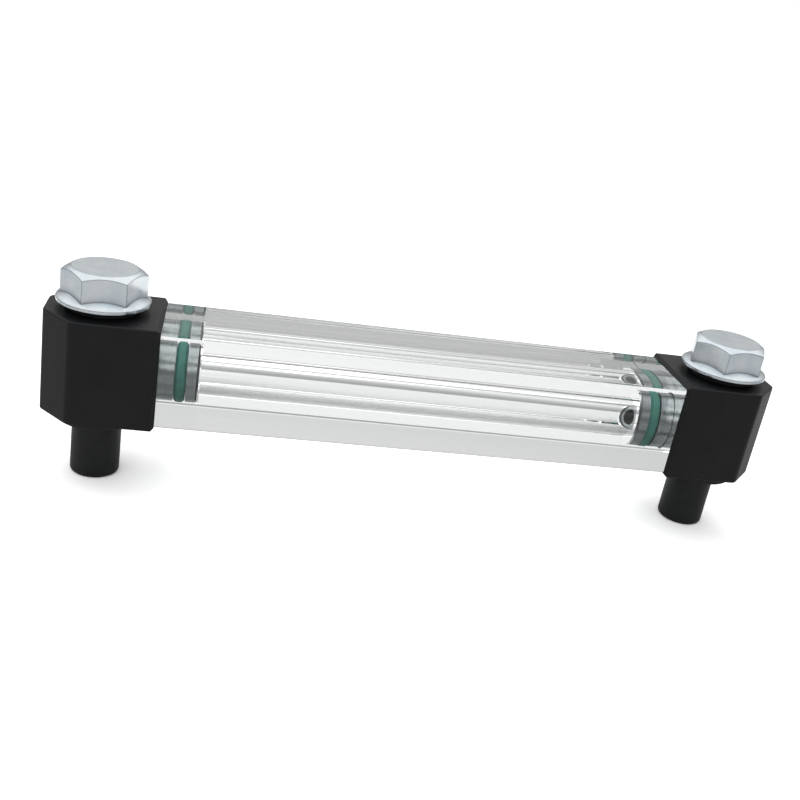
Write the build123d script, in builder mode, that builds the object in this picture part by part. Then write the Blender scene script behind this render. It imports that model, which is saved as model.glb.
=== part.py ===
"""Tank level gauge: a clear sight bar between two black end blocks.

A hollow hex bolt clamps each block to the tank wall and carries the liquid in. The liquid
goes up the bolt, out of its cross hole, through the block and the spigot, and into the bar.

The frame is in millimetres. The tank wall is the plane Z = 0, +Z points away from the tank,
X runs along the bar, and the origin lies midway between the two bolt axes.
"""
from build123d import *
import os

# Driving dimensions, in millimetres
bolt_spacing = 156.0            # between the axes of the two bolts

block_side = 25.0               # square section of the end blocks
inner_reach = 14.0              # from a bolt axis to the block face that meets the bar
outer_reach = 12.8              # from a bolt axis to the block's outer end
corner_cut_x = 7.0              # the two big corner cuts at the outer end, along the bar
corner_cut_y = 7.8              # and across it
corner_round = 2.0              # rounding of the upright edges at the corner cuts
mouth_chamfer = 0.8             # bevel round the block face that meets the bar
block_edge = 0.5                # rounding of the block's other edges

bar_side = 23.2                 # square section of the sight bar
bar_edge = 0.35                 # bevel along the bar's long edges
bar_bore = 10.5                 # liquid bore through the bar
bar_end_play = 0.05             # air gap between each end of the bar and its block

spigot_diameter = 14.8
spigot_bore = 6.6
spigot_in_bar = 9.2             # length of the spigot inside the bar
spigot_in_block = 6.0           # length of the spigot inside the block
spigot_chamfer = 0.5
spigot_fit = 0.1                # radial clearance of the spigot in its sockets
spigot_end_gap = 0.3            # free length beyond the spigot in the bar

ring_width = 2.6                # spigot ring, squeezed, along the spigot
ring_bevel = 0.6                # bevel that stands for the ring's squeezed round shoulders
ring_side_gap = 0.15            # play of a ring in its groove, each side
groove_depth = 1.6
bar_ring_reach = 5.0            # from the block face to the middle of the ring in the bar
block_ring_reach = 3.0          # from the block face to the middle of the ring in the block

thread_diameter = 10.0
thread_length = 13.2            # bare thread beyond the tank wall plane
thread_chamfer = 1.0
bolt_hole_fit = 0.2             # radial clearance of the bolt in the block
bolt_bore = 5.0
waist_diameter = 8.4            # neck that leaves an annular gallery round the cross hole
waist_length = 10.0
cross_hole = 3.6

flange_diameter = 21.5
flange_rim = 1.2                # height of the flange at its edge
flange_height = 2.4             # height of the flange at the hexagon
flange_edge = 0.25
hex_across_flats = 17.0
hex_height = 5.85
hex_top_diameter = 15.2         # flat round face on top of the head
hex_crown_slope = 0.6           # fall of the crown per length outward from that face
hex_turn = 6.0                  # degrees from the bar's direction to a corner of the head

head_seal_diameter = 17.0
head_seal_thickness = 1.6
wall_seal_diameter = 20.0
wall_seal_thickness = 2.2
seal_edge = 0.3
seal_fit = 0.1                  # radial clearance of a flat seal round the bolt

cap_diameter = 11.7
cap_floor = 1.5                 # thickness of the cap's closed end
cap_edge = 0.9
cap_fit = 0.05                  # radial clearance of the cap on the thread

# Heights and places that follow from them
block_floor = wall_seal_thickness
block_top = block_floor + block_side
bar_axis_height = block_floor + block_side / 2
flange_floor = block_top + head_seal_thickness
hex_floor = flange_floor + flange_height
hex_top = hex_floor + hex_height
block_face = bolt_spacing / 2 - inner_reach         # from the origin to the face of a block
bar_half_length = block_face - bar_end_play
socket_radius = spigot_diameter / 2 + spigot_fit
groove_radius = spigot_diameter / 2 - groove_depth
bar_axis = Axis((0, 0, bar_axis_height), (1, 0, 0))

os.makedirs("parts", exist_ok=True)


def bolt_axis(side):
    """Axis of the bolt at the left (side -1) or right (side +1) end."""
    return Axis((side * bolt_spacing / 2, 0, 0), (0, 0, 1))


def level_plane(side, height):
    """Level plane centred on one bolt axis."""
    return Plane((side * bolt_spacing / 2, 0, height))


def bolt_section(side):
    """Upright plane through one bolt axis: local x is the radius, local y is the height."""
    return Plane((side * bolt_spacing / 2, 0, 0), x_dir=(1, 0, 0), z_dir=(0, -1, 0))


def bar_section(side):
    """Upright plane on the bar axis at a block face: local x goes into the bar."""
    return Plane((side * block_face, 0, bar_axis_height), x_dir=(-side, 0, 0), z_dir=(0, side, 0))


def make_sight_bar():
    """Square clear bar with a through bore and a socket for a spigot at each end."""
    with BuildPart() as sight_bar:
        with BuildSketch(Plane.YZ.offset(-bar_half_length)):
            with Locations((0, bar_axis_height)):
                Rectangle(bar_side, bar_side)
        extrude(amount=2 * bar_half_length)
        chamfer(sight_bar.edges().filter_by(Axis.X), length=bar_edge)
        for side in (-1, 1):
            with Locations(Plane((side * bar_half_length, 0, bar_axis_height), z_dir=(side, 0, 0))):
                Hole(radius=socket_radius, depth=spigot_in_bar + spigot_end_gap)
        with Locations(Plane((bar_half_length, 0, bar_axis_height), z_dir=(1, 0, 0))):
            Hole(radius=bar_bore / 2)
    sight_bar.part.label = "sight_bar"
    export_step(sight_bar.part, "parts/sight_bar.step")


def make_end_block(name, side):
    """Block with cut outer corners, an upright bolt hole and a level socket for the spigot."""
    half = block_side / 2
    with BuildPart() as end_block:
        with BuildSketch(level_plane(side, block_floor)):
            with BuildLine():
                Polyline(
                    (-side * inner_reach, -half),
                    (side * (outer_reach - corner_cut_x), -half),
                    (side * outer_reach, -half + corner_cut_y),
                    (side * outer_reach, half - corner_cut_y),
                    (side * (outer_reach - corner_cut_x), half),
                    (-side * inner_reach, half),
                    close=True,
                )
            make_face()
        extrude(amount=block_side)
        inner_x = side * block_face
        corner_edges = end_block.edges().filter_by(Axis.Z).sort_by(Axis.X, reverse=side < 0)[2:]
        fillet(corner_edges, radius=corner_round)
        mouth_edges = end_block.edges().filter_by_position(Axis.X, inner_x, inner_x)
        chamfer(mouth_edges, length=mouth_chamfer)
        levels = end_block.edges().group_by(Axis.Z)
        outlines = levels[0] + levels[-1]
        outer_edges = [edge for edge in outlines if abs(edge.center().X - inner_x) > 2 * mouth_chamfer]
        fillet(outer_edges, radius=block_edge)
        with Locations(level_plane(side, block_top)):
            Hole(radius=thread_diameter / 2 + bolt_hole_fit)
        with Locations(Plane((inner_x, 0, bar_axis_height), z_dir=(-side, 0, 0))):
            Hole(radius=socket_radius, depth=spigot_in_block)
            Hole(radius=spigot_bore / 2, depth=inner_reach)
    end_block.part.label = name
    export_step(end_block.part, f"parts/{name}.step")


def make_spigot(name, side):
    """Turned sleeve that joins block and bar, with a ring groove in each half."""
    radius = spigot_diameter / 2
    with BuildPart() as spigot:
        with BuildSketch(bar_section(side)):
            with Locations((-spigot_in_block, 0)):
                Rectangle(spigot_in_block + spigot_in_bar, radius, align=(Align.MIN, Align.MIN))
            with Locations((bar_ring_reach, groove_radius), (-block_ring_reach, groove_radius)):
                Rectangle(ring_width + 2 * ring_side_gap, 2 * groove_depth,
                          align=(Align.CENTER, Align.MIN), mode=Mode.SUBTRACT)
            with Locations((-spigot_in_block, 0)):
                Rectangle(spigot_in_block + spigot_in_bar, spigot_bore / 2,
                          align=(Align.MIN, Align.MIN), mode=Mode.SUBTRACT)
        revolve(axis=bar_axis)
        rims = spigot.edges().filter_by(GeomType.CIRCLE).group_by(Axis.X)
        outer_rims = [end.sort_by(lambda edge: edge.radius)[-1] for end in (rims[0], rims[-1])]
        chamfer(outer_rims, length=spigot_chamfer)
    spigot.part.label = name
    export_step(spigot.part, f"parts/{name}.step")


def make_spigot_ring(name, side, reach):
    """Rubber ring squeezed between a spigot groove and the wall of its socket."""
    with BuildPart() as spigot_ring:
        with BuildSketch(bar_section(side)):
            with Locations((reach, groove_radius)):
                Rectangle(ring_width, socket_radius - groove_radius, align=(Align.CENTER, Align.MIN))
        revolve(axis=bar_axis)
        chamfer(spigot_ring.edges().filter_by(GeomType.CIRCLE), length=ring_bevel)
    spigot_ring.part.label = name
    export_step(spigot_ring.part, f"parts/{name}.step")


def make_bolt(name, side):
    """Hollow hex bolt with a flange, a waisted shank, a blind bore and a cross hole."""
    axis = bolt_axis(side)
    shank_radius = thread_diameter / 2
    flange_radius = flange_diameter / 2
    hex_radius = hex_across_flats / 2
    top_radius = hex_top_diameter / 2
    crown_drop = (2 * hex_radius - top_radius) * hex_crown_slope
    waist_low = bar_axis_height - waist_length / 2
    with BuildPart() as bolt:
        with BuildSketch(level_plane(side, hex_floor - flange_rim)):
            RegularPolygon(hex_radius, side_count=6, major_radius=False, rotation=hex_turn)
        extrude(amount=hex_height + flange_rim)
        with BuildSketch(bolt_section(side)):
            with BuildLine():
                Polyline(
                    (0, 0),
                    (2 * hex_radius, 0),
                    (2 * hex_radius, hex_top - crown_drop),
                    (top_radius, hex_top),
                    (0, hex_top),
                    close=True,
                )
            make_face()
        revolve(axis=axis, mode=Mode.INTERSECT)
        with BuildSketch(bolt_section(side)):
            with BuildLine():
                Polyline(
                    (0, -thread_length),
                    (shank_radius - thread_chamfer, -thread_length),
                    (shank_radius, -thread_length + thread_chamfer),
                    (shank_radius, waist_low),
                    (waist_diameter / 2, waist_low),
                    (waist_diameter / 2, waist_low + waist_length),
                    (shank_radius, waist_low + waist_length),
                    (shank_radius, flange_floor),
                    (flange_radius - flange_edge, flange_floor),
                    (flange_radius, flange_floor + flange_edge),
                    (flange_radius, flange_floor + flange_rim - flange_edge),
                    (flange_radius - flange_edge, flange_floor + flange_rim),
                    (hex_radius, hex_floor),
                    (0, hex_floor),
                    close=True,
                )
            make_face()
        revolve(axis=axis)
        with Locations(Plane((side * bolt_spacing / 2, 0, -thread_length), z_dir=(0, 0, -1))):
            Hole(radius=bolt_bore / 2, depth=thread_length + bar_axis_height + cross_hole)
        with Locations(Plane((side * bolt_spacing / 2, 0, bar_axis_height), z_dir=(1, 0, 0))):
            Hole(radius=cross_hole / 2)
    bolt.part.label = name
    export_step(bolt.part, f"parts/{name}.step")


def make_flat_seal(name, side, floor, diameter, thickness):
    """Flat rubber ring round the bolt, above or below the block."""
    with BuildPart() as flat_seal:
        with BuildSketch(level_plane(side, floor)):
            Circle(diameter / 2)
            Circle(thread_diameter / 2 + seal_fit, mode=Mode.SUBTRACT)
        extrude(amount=thickness)
        rims = flat_seal.edges().filter_by(GeomType.CIRCLE).sort_by(lambda edge: edge.radius)
        chamfer(rims[-2:], length=seal_edge)
    flat_seal.part.label = name
    export_step(flat_seal.part, f"parts/{name}.step")


def make_thread_cap(name, side):
    """Push-on cap that covers the bare thread and ends against the lower seal."""
    cap_length = thread_length + cap_floor
    with BuildPart() as thread_cap:
        with BuildSketch(level_plane(side, -cap_length)):
            Circle(cap_diameter / 2)
        extrude(amount=cap_length)
        fillet(thread_cap.edges().group_by(Axis.Z)[0], radius=cap_edge)
        with Locations(level_plane(side, 0)):
            Hole(radius=thread_diameter / 2 + cap_fit, depth=thread_length)
    thread_cap.part.label = name
    export_step(thread_cap.part, f"parts/{name}.step")


make_sight_bar()
for word, side in (("left", -1), ("right", 1)):
    make_end_block(f"{word}_end_block", side)
    make_spigot(f"{word}_spigot", side)
    make_spigot_ring(f"{word}_bar_ring", side, bar_ring_reach)
    make_spigot_ring(f"{word}_block_ring", side, -block_ring_reach)
    make_bolt(f"{word}_hollow_bolt", side)
    make_flat_seal(f"{word}_head_seal", side, block_top, head_seal_diameter, head_seal_thickness)
    make_flat_seal(f"{word}_wall_seal", side, 0, wall_seal_diameter, wall_seal_thickness)
    make_thread_cap(f"{word}_thread_cap", side)
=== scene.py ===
"""Looks for the tank level gauge: finishes, lights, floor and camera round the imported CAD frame."""
import math

import bpy
from mathutils import Matrix, Vector


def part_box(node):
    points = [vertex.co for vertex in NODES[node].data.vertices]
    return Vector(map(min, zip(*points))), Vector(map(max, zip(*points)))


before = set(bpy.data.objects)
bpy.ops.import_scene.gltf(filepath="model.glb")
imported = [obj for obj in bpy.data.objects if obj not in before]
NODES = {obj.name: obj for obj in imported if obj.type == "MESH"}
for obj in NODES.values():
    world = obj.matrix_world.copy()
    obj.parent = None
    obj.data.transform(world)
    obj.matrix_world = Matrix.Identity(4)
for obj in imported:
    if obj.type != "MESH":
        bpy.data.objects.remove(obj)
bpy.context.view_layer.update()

SIDES = ("left", "right")

BAR_LOW, BAR_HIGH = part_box("sight_bar")
BAR_MIDDLE = (BAR_LOW + BAR_HIGH) / 2
SPIGOT_LOW, SPIGOT_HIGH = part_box("right_spigot")
SPIGOT_START = SPIGOT_LOW.x + 0.0001                           # just past its end inside the bar
SOCKET_REACH = (SPIGOT_HIGH.z - SPIGOT_LOW.z) / 2 + 0.0003     # just past the socket's wall
FLOOR_Z = min(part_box(f"{side}_thread_cap")[0].z for side in SIDES)

WHITE = (1, 1, 1)
ACRYLIC_IOR = 1.49
NO_BOUNDARY_IOR = 1.0

# Floor colours
FLOOR_PLAIN = 0.6           # for the light it throws back
FLOOR_FRONT_SHADE = 0.48          # painted shade in front of the gauge, for mirrors and glass
FLOOR_BACK_LIT_POOL = 0.87           # in the painted pool of light behind it, for mirrors and glass
FLOOR_SEEN = 1.45           # for the camera, so that the open floor reads as white
FLOOR_HALF = 20.0           # half the floor's side
LIT_POOL_CENTRE = (0.04, 0.5, FLOOR_Z)
LIT_POOL_EDGE = 0.51            # distance from the painted light pool's centre at which it ends
LIT_POOL_CORE = 0.45            # and at which it is fully pale

# Studio strengths
ROOM_SEEN = 1.0             # for the camera
ROOM_PLAIN = 0.72           # for diffuse light
CEILING = 0.92              # overhead, for mirrors and glass
ROOM_FRONT = 0.24           # at the horizon in front of the gauge, for mirrors and glass
WALL_BACK = 0.36            # and behind it


# Node helpers -----------------------------------------------------------------------------

def new_material(name):
    """A material with one Principled shader, and its tree and shader."""
    material = bpy.data.materials.new(name)
    material.use_nodes = True
    tree = material.node_tree
    shader = tree.nodes["Principled BSDF"]
    return material, tree, shader


def add(tree, kind, **settings):
    """A node of that kind; settings name its properties."""
    node = tree.nodes.new(kind)
    for key, value in settings.items():
        setattr(node, key, value)
    return node


def wire(tree, entry, socket):
    """A number sets the socket's own value, and an output is linked to it."""
    if isinstance(entry, (int, float)):
        socket.default_value = entry
    else:
        tree.links.new(entry, socket)


def math_of(tree, operation, first, second=None):
    """One Math node; its entries are numbers or outputs."""
    node = add(tree, "ShaderNodeMath", operation=operation)
    wire(tree, first, node.inputs[0])
    if second is not None:
        wire(tree, second, node.inputs[1])
    return node.outputs["Value"]


def distance_to(tree, vector, point):
    node = add(tree, "ShaderNodeVectorMath", operation="DISTANCE")
    tree.links.new(vector, node.inputs[0])
    node.inputs[1].default_value = point
    return node.outputs["Value"]


def object_place(tree, scale=(1, 1, 1)):
    """The surface point in the shared frame, in metres, stretched by scale."""
    place = add(tree, "ShaderNodeTexCoord")
    mapping = add(tree, "ShaderNodeMapping")
    mapping.inputs["Scale"].default_value = scale
    tree.links.new(place.outputs["Object"], mapping.inputs["Vector"])
    return mapping.outputs["Vector"]


def parts_of(tree, output):
    """X, Y and Z of a texture coordinate."""
    place = add(tree, "ShaderNodeTexCoord")
    parts = add(tree, "ShaderNodeSeparateXYZ")
    tree.links.new(place.outputs[output], parts.inputs["Vector"])
    return parts.outputs


def noise(tree, vector, scale, detail=3.0, roughness=0.5):
    node = add(tree, "ShaderNodeTexNoise")
    node.inputs["Scale"].default_value = scale
    node.inputs["Detail"].default_value = detail
    node.inputs["Roughness"].default_value = roughness
    tree.links.new(vector, node.inputs["Vector"])
    return node.outputs["Fac"]


def ramp(tree, value, stops):
    """A colour ramp; stops are two (position, colour)."""
    node = add(tree, "ShaderNodeValToRGB")
    for element, (position, colour) in zip(node.color_ramp.elements, stops):
        element.position = position
        element.color = (*colour, 1)
    tree.links.new(value, node.inputs["Fac"])
    return node.outputs["Color"]


def scale_to(tree, value, low, high, start=0, end=1, smooth=False):
    """A value from start to end mapped to low to high, each a number or an output."""
    node = add(tree, "ShaderNodeMapRange")
    if smooth:
        node.interpolation_type = "SMOOTHSTEP"
    entries = {"Value": value, "From Min": start, "From Max": end, "To Min": low, "To Max": high}
    for name, entry in entries.items():
        wire(tree, entry, node.inputs[name])
    return node.outputs["Result"]


def times(tree, first, second):
    """The product of two colours."""
    node = add(tree, "ShaderNodeMix", data_type="RGBA", blend_type="MULTIPLY")
    node.inputs["Factor"].default_value = 1.0
    tree.links.new(first, node.inputs[6])       # the colour inputs share their names with
    tree.links.new(second, node.inputs[7])      # the number inputs, so they go by place
    return node.outputs[2]


def bump(tree, shader, height, distance, strength=1.0, after=None):
    """Relief on the shader's normal, on top of the normal given as after."""
    node = add(tree, "ShaderNodeBump")
    node.inputs["Strength"].default_value = strength
    node.inputs["Distance"].default_value = distance
    tree.links.new(height, node.inputs["Height"])
    if after:
        tree.links.new(after, node.inputs["Normal"])
    tree.links.new(node.outputs["Normal"], shader.inputs["Normal"])


def by_ray(tree, plain, mirrored, seen):
    """One value for diffuse light, one for mirrors and glass and one for the camera."""
    path = add(tree, "ShaderNodeLightPath").outputs
    clear = math_of(tree, "MAXIMUM", path["Is Glossy Ray"], path["Is Transmission Ray"])
    value = scale_to(tree, clear, plain, mirrored)
    return scale_to(tree, path["Is Camera Ray"], value, seen)


def grey(level):
    return (level, level, level)


# Finishes ---------------------------------------------------------------------------------

def bar_ior(tree):
    """IOR of the bar: a film of oil between a spigot and its socket leaves no boundary there to see."""
    place = parts_of(tree, "Object")
    deep = math_of(tree, "GREATER_THAN", math_of(tree, "ABSOLUTE", place["X"]), SPIGOT_START)
    beside = add(tree, "ShaderNodeCombineXYZ")
    tree.links.new(place["Y"], beside.inputs["Y"])
    tree.links.new(place["Z"], beside.inputs["Z"])
    radius = distance_to(tree, beside.outputs["Vector"], (0, 0, BAR_MIDDLE.z))
    near = math_of(tree, "LESS_THAN", radius, SOCKET_REACH)
    return scale_to(tree, math_of(tree, "MULTIPLY", deep, near), ACRYLIC_IOR, NO_BOUNDARY_IOR)


def clear_acrylic():
    """Polished acrylic with a faint haze of fine marks. Lamps shine through it."""
    material, tree, shader = new_material("clear_acrylic")
    shader.inputs["Base Color"].default_value = (0.97, 0.98, 0.98, 1)
    shader.inputs["Transmission Weight"].default_value = 1.0
    shader.inputs["IOR"].default_value = ACRYLIC_IOR
    tree.links.new(bar_ior(tree), shader.inputs["IOR"])
    marks = noise(tree, object_place(tree, (60, 900, 900)), 1.0, 2.0)
    tree.links.new(scale_to(tree, marks, 0.0, 0.004), shader.inputs["Roughness"])
    through = add(tree, "ShaderNodeBsdfTransparent")
    through.inputs["Color"].default_value = (0.9, 0.91, 0.91, 1)
    path = add(tree, "ShaderNodeLightPath")
    mix = add(tree, "ShaderNodeMixShader")
    tree.links.new(path.outputs["Is Shadow Ray"], mix.inputs["Fac"])
    tree.links.new(shader.outputs["BSDF"], mix.inputs[1])
    tree.links.new(through.outputs["BSDF"], mix.inputs[2])
    tree.links.new(mix.outputs["Shader"], tree.nodes["Material Output"].inputs["Surface"])
    return material


def black_coating():
    """Satin black coating with a fine grain."""
    material, tree, shader = new_material("black_coating")
    shader.inputs["Specular IOR Level"].default_value = 0.3
    place = object_place(tree)
    cloud = noise(tree, place, 120, 4.0)
    coat = ramp(tree, cloud, [(0.3, (0.004, 0.0045, 0.0055)), (0.7, (0.008, 0.0085, 0.0095))])
    tree.links.new(coat, shader.inputs["Base Color"])
    tree.links.new(scale_to(tree, cloud, 0.38, 0.52), shader.inputs["Roughness"])
    bump(tree, shader, noise(tree, place, 2600, 3.0), distance=0.0001, strength=0.6)
    return material


def zinc_plate():
    """Bright zinc with a cool tint and soft pools of tone, with painted dark reflections along its edges
    and painted shade in its creases.
    """
    material, tree, shader = new_material("zinc_plate")
    shader.inputs["Metallic"].default_value = 1.0
    place = object_place(tree)
    pools = noise(tree, place, 260, 4.0, 0.6)
    plate = ramp(tree, pools, [(0.3, (0.76, 0.845, 0.91)), (0.7, (0.93, 0.975, 0.99))])
    tree.links.new(scale_to(tree, pools, 0.1, 0.2), shader.inputs["Roughness"])
    # Painted shade: an ambient occlusion mask darkens the base colour in creases, such as the hex's foot
    # on the flange.
    crease = add(tree, "ShaderNodeAmbientOcclusion")
    crease.inputs["Distance"].default_value = 0.0035
    painted_crease_shade = ramp(tree, crease.outputs["AO"], [(0.55, (0.04, 0.05, 0.065)), (0.94, WHITE)])
    edge = add(tree, "ShaderNodeBevel")
    edge.inputs["Radius"].default_value = 0.0004
    bump(tree, shader, noise(tree, place, 500, 3.0), distance=0.00008, strength=0.35,
         after=edge.outputs["Normal"])
    # Painted dark reflection: the base colour is darkened along edges, where the rounded bevel normal
    # turns away from the face's normal.
    turn = add(tree, "ShaderNodeVectorMath", operation="DOT_PRODUCT")
    tree.links.new(edge.outputs["Normal"], turn.inputs[0])
    tree.links.new(add(tree, "ShaderNodeNewGeometry").outputs["Normal"], turn.inputs[1])
    painted_edge_reflection = ramp(tree, turn.outputs["Value"], [(0.965, (0.4, 0.42, 0.45)), (0.995, WHITE)])
    tree.links.new(times(tree, times(tree, plate, painted_crease_shade), painted_edge_reflection), shader.inputs["Base Color"])
    return material


def turned_metal():
    """Satin turned steel with faint tool marks round the bar's axis."""
    material, tree, shader = new_material("turned_metal")
    shader.inputs["Metallic"].default_value = 1.0
    lines = noise(tree, object_place(tree, (9000, 30, 30)), 1.0, 2.0)
    steel = ramp(tree, lines, [(0.3, (0.27, 0.295, 0.3)), (0.7, (0.33, 0.355, 0.36))])
    tree.links.new(steel, shader.inputs["Base Color"])
    tree.links.new(scale_to(tree, lines, 0.26, 0.3), shader.inputs["Roughness"])
    return material


def rubber(name, dark, light, rough, gloss=0.5):
    """Moulded rubber or vinyl with a soft skin."""
    material, tree, shader = new_material(name)
    shader.inputs["Specular IOR Level"].default_value = gloss
    place = object_place(tree)
    cloud = noise(tree, place, 400, 3.0)
    tree.links.new(ramp(tree, cloud, [(0.3, dark), (0.7, light)]), shader.inputs["Base Color"])
    tree.links.new(scale_to(tree, cloud, rough, rough + 0.12), shader.inputs["Roughness"])
    bump(tree, shader, noise(tree, place, 2500, 2.0), distance=0.00003, strength=0.4)
    return material


def dress(material, *nodes):
    """Every material slot of those CAD nodes takes the material."""
    for node in nodes:
        for slot in NODES[node].material_slots:
            slot.material = material


def both(piece):
    return [f"{side}_{piece}" for side in SIDES]


dress(clear_acrylic(), "sight_bar")
dress(black_coating(), *both("end_block"))
dress(zinc_plate(), *both("hollow_bolt"))
dress(turned_metal(), *both("spigot"))
dress(rubber("green_rubber", (0.034, 0.17, 0.135), (0.05, 0.22, 0.175), rough=0.5),
      *both("bar_ring"), *both("block_ring"))
dress(rubber("black_rubber", grey(0.008), grey(0.014), rough=0.6),
      *both("head_seal"), *both("wall_seal"))
dress(rubber("black_cap", (0.007, 0.008, 0.0085), (0.011, 0.012, 0.0125), rough=0.35, gloss=0.35),
      *both("thread_cap"))


# Stage ------------------------------------------------------------------------------------

def floor():
    """A pale floor. For mirrors and glass it carries painted shade in front of the gauge and a painted
    pool of light behind it. To the camera it is white under a soft shadow.
    """
    corners = [(x * FLOOR_HALF, y * FLOOR_HALF, FLOOR_Z) for x, y in ((-1, -1), (1, -1), (1, 1), (-1, 1))]
    mesh = bpy.data.meshes.new("floor")
    mesh.from_pydata(corners, [], [(0, 1, 2, 3)])
    piece = bpy.data.objects.new("floor", mesh)
    bpy.context.scene.collection.objects.link(piece)
    material, tree, shader = new_material("floor")
    tree.nodes.remove(shader)
    place = add(tree, "ShaderNodeTexCoord")
    # Painted light and shade, seen only in mirrors and glass: darker in front of the gauge where its
    # shadow would fall, paler in a pool behind it.
    away = distance_to(tree, place.outputs["Object"], LIT_POOL_CENTRE)
    painted_floor_tone = scale_to(tree, away, FLOOR_FRONT_SHADE, FLOOR_BACK_LIT_POOL, LIT_POOL_EDGE, LIT_POOL_CORE, smooth=True)
    paint = add(tree, "ShaderNodeBsdfDiffuse")
    tree.links.new(by_ray(tree, FLOOR_PLAIN, painted_floor_tone, FLOOR_SEEN), paint.inputs["Color"])
    tree.links.new(paint.outputs["BSDF"], tree.nodes["Material Output"].inputs["Surface"])
    mesh.materials.append(material)


def studio_world():
    """White to the camera and plain to diffuse light. Mirrors and glass meet a graded pale room."""
    world = bpy.data.worlds.new("studio")
    bpy.context.scene.world = world
    world.use_nodes = True
    tree = world.node_tree
    way = parts_of(tree, "Generated")
    front = scale_to(tree, way["Z"], ROOM_FRONT, CEILING, 0.3, 0.85, smooth=True)
    back = scale_to(tree, way["Z"], WALL_BACK, CEILING, 0.0, 0.7, smooth=True)
    room = scale_to(tree, way["Y"], front, back, -0.25, 0.25, smooth=True)
    background = tree.nodes["Background"]
    background.inputs["Color"].default_value = (*WHITE, 1)
    tree.links.new(by_ray(tree, ROOM_PLAIN, room, ROOM_SEEN), background.inputs["Strength"])


def lamp(name, place, size, power):
    """A square softbox aimed at the bar's middle. The metal mirrors the studio and not the lamp itself."""
    data = bpy.data.lights.new(name, "AREA")
    data.shape = "SQUARE"
    data.size = size
    data.energy = power
    piece = bpy.data.objects.new(name, data)
    bpy.context.scene.collection.objects.link(piece)
    piece.location = place
    piece.visible_glossy = False
    aim = BAR_MIDDLE - Vector(place)
    piece.rotation_euler = aim.to_track_quat("-Z", "Y").to_euler()


def camera(aim, azimuth, elevation, roll, distance, lens):
    """A camera at distance from aim, turned by azimuth from +Y, looking down by elevation."""
    turn, tilt, lean = map(math.radians, (azimuth, elevation, roll))
    forward = Vector((math.sin(turn) * math.cos(tilt), math.cos(turn) * math.cos(tilt), -math.sin(tilt)))
    level = Vector((math.cos(turn), -math.sin(turn), 0))
    upright = level.cross(forward)
    right = level * math.cos(lean) + upright * math.sin(lean)
    up = upright * math.cos(lean) - level * math.sin(lean)
    data = bpy.data.cameras.new("camera")
    data.lens = lens
    data.sensor_width = 36
    data.clip_start = 0.01
    piece = bpy.data.objects.new("camera", data)
    bpy.context.scene.collection.objects.link(piece)
    axes = Matrix((right, up, -forward)).transposed().to_4x4()
    piece.matrix_world = Matrix.Translation(aim - forward * distance) @ axes
    bpy.context.scene.camera = piece


floor()
studio_world()
lamp("key", place=(-0.15, 0.3, 0.7), size=0.9, power=2.5)
lamp("fill", place=(-0.3, -0.55, 0.6), size=0.5, power=1.5)
camera(aim=BAR_MIDDLE + Vector((-0.0049, 0, -0.0034)), azimuth=11.7, elevation=22.15, roll=10.07,
       distance=0.2583, lens=46.23)

bpy.context.scene.view_settings.view_transform = "Standard"
